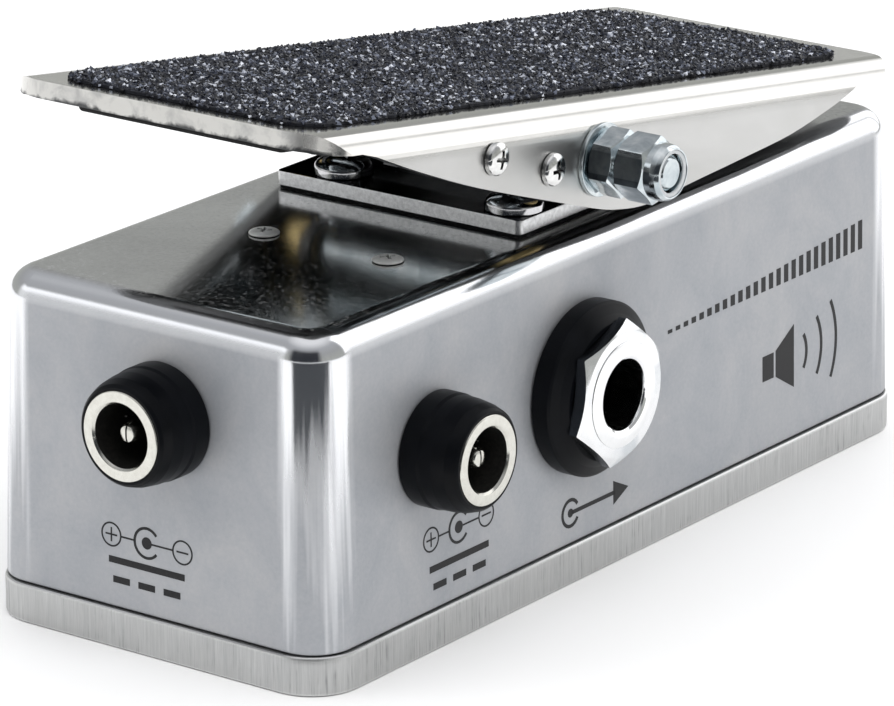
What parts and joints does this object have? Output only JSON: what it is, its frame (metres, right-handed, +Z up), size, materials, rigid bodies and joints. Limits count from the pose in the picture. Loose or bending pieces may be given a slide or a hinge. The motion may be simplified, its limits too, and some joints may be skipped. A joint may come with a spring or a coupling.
{
  "type": "volume pedal",
  "caption": "Miniature rocker volume pedal: metal box, tilting grip-faced treadle on a cross bolt, sector gear to a potentiometer, side audio sockets and barrel power sockets.",
  "frame": {"origin": "centre of the base plate's underside, the face it rests on", "axes": "+Y along the box towards the toe end, +Z up, +X to the right seen from the heel end; outputs on the -X side"},
  "size_m": [0.0513, 0.0993, 0.0505],
  "materials": {
    "acetal": "natural moulding",
    "black_plastic": "satin moulded",
    "black_rubber": "matt",
    "board_green": "solder-masked glass fibre laminate",
    "brass": "turned",
    "bright_steel": "bright plated",
    "cast_aluminium": "satin die-cast sides, polished lid",
    "chrome": "mirror",
    "cut_aluminium": "cut and brushed edge",
    "grit_pad": "coarse mineral grit in black binder",
    "nickel_ring": "warm nickel plate",
    "phenolic": "moulded resin",
    "polished_steel": "polished, nickel tone",
    "zinc_steel": "bright zinc plate"
  },
  "bodies": {
    "base": {"axle_bush_left": "brass", "axle_bush_right": "brass", "base_plate": "cut_aluminium", "base_screw_1": "zinc_steel", "base_screw_2": "zinc_steel", "base_screw_3": "zinc_steel", "base_screw_4": "zinc_steel", "board_screw_1": "bright_steel", "board_screw_2": "bright_steel", "board_spacer_1": "brass", "board_spacer_2": "brass", "bracket_rivet_1": "zinc_steel", "bracket_rivet_2": "zinc_steel", "circuit_board": "board_green", "enclosure": "cast_aluminium", "heel_bumper": "black_rubber", "hinge_base": "cut_aluminium", "hinge_bracket": "polished_steel", "hinge_gasket": "black_rubber", "hinge_screw_1": "zinc_steel", "hinge_screw_2": "zinc_steel", "hinge_screw_3": "zinc_steel", "hinge_screw_4": "zinc_steel", "input_socket_bezel": "black_plastic", "input_socket_housing": "black_plastic", "input_socket_nut": "chrome", "input_socket_sleeve": "chrome", "output_socket_bezel": "black_plastic", "output_socket_housing": "black_plastic", "output_socket_nut": "chrome", "output_socket_sleeve": "chrome", "pot_body": "phenolic", "pot_bracket": "zinc_steel", "pot_bracket_screw_1": "bright_steel", "pot_bracket_screw_2": "bright_steel", "pot_nut": "zinc_steel", "power_socket_side_pin": "nickel_ring", "power_socket_side_ring": "nickel_ring", "power_socket_side_shell": "black_plastic", "power_socket_toe_pin": "nickel_ring", "power_socket_toe_ring": "nickel_ring", "power_socket_toe_shell": "black_plastic"},
    "treadle": {"axle_bolt": "zinc_steel", "axle_locknut": "zinc_steel", "axle_nut": "zinc_steel", "axle_washer_left": "zinc_steel", "axle_washer_right": "zinc_steel", "grip_pad": "grit_pad", "sector_gear": "polished_steel", "sector_rivet_1": "zinc_steel", "sector_rivet_2": "zinc_steel", "toe_bumper": "black_rubber", "treadle_plate": "polished_steel", "treadle_yoke": "zinc_steel", "yoke_screw_1": "bright_steel", "yoke_screw_2": "bright_steel", "yoke_screw_3": "bright_steel", "yoke_screw_4": "bright_steel"},
    "pot_rotor": {"pinion": "acetal", "pot_shaft": "zinc_steel"}
  },
  "joints": [
    {"name": "treadle_rock", "type": "hinge", "parent": "base", "child": "treadle", "pos_m": [0, 0.0064, 0.0396], "axis": [-1, 0, 0], "range_deg": [-2, 21.5]},
    {"name": "pot_turn", "type": "hinge", "parent": "base", "child": "pot_rotor", "pos_m": [0, -0.03352, 0.01882], "axis": [-1, 0, 0], "range_deg": [-250, 25]}
  ],
  "couplings": [
    {"joint": "pot_turn", "follows": "treadle_rock", "ratio": -11.5}
  ]
}
